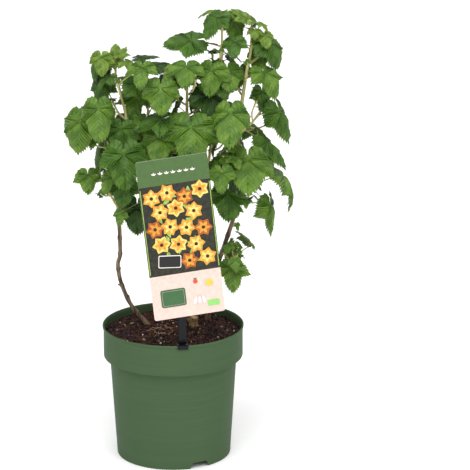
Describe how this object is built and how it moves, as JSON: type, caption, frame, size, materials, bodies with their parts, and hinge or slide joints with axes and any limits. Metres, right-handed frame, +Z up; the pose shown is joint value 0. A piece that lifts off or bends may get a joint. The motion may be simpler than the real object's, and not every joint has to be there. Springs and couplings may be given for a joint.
{
  "type": "potted currant bush",
  "caption": "Young leafy currant bush with upright canes in a round green nursery pot, with a plant label clipped to the rim.",
  "frame": {"origin": "middle of the pot's foot, on the surface it stands on", "axes": "+Z up, along the pot's axis; -Y is the front, where the label is, and +X its right"},
  "size_m": [0.2955, 0.2318, 0.6098],
  "materials": {
    "pot": "satin",
    "soil": "matte",
    "bark": "matte",
    "leaf": "satin",
    "card": "satin",
    "holder": "satin"
  },
  "bodies": {
    "root": {"pot": "pot", "soil": "soil", "pruned_stump": "bark", "label_card": "card", "label_holder": "holder", "cane_left": "bark", "cane_centre": "bark", "cane_middle": "bark", "cane_right": "bark", "cane_back_left": "bark", "cane_back_right": "bark", "leaves_left_top": "leaf", "leaves_left_side": "leaf", "leaves_left_low": "leaf", "leaves_centre_top": "leaf", "leaves_centre_front": "leaf", "leaves_centre_low": "leaf", "leaves_middle_top": "leaf", "leaves_right_top": "leaf", "leaves_right_side": "leaf", "leaves_right_front": "leaf", "leaves_right_low": "leaf", "leaves_right_foot": "leaf", "leaves_back_left": "leaf", "leaves_back_right": "leaf"}
  },
  "joints": []
}
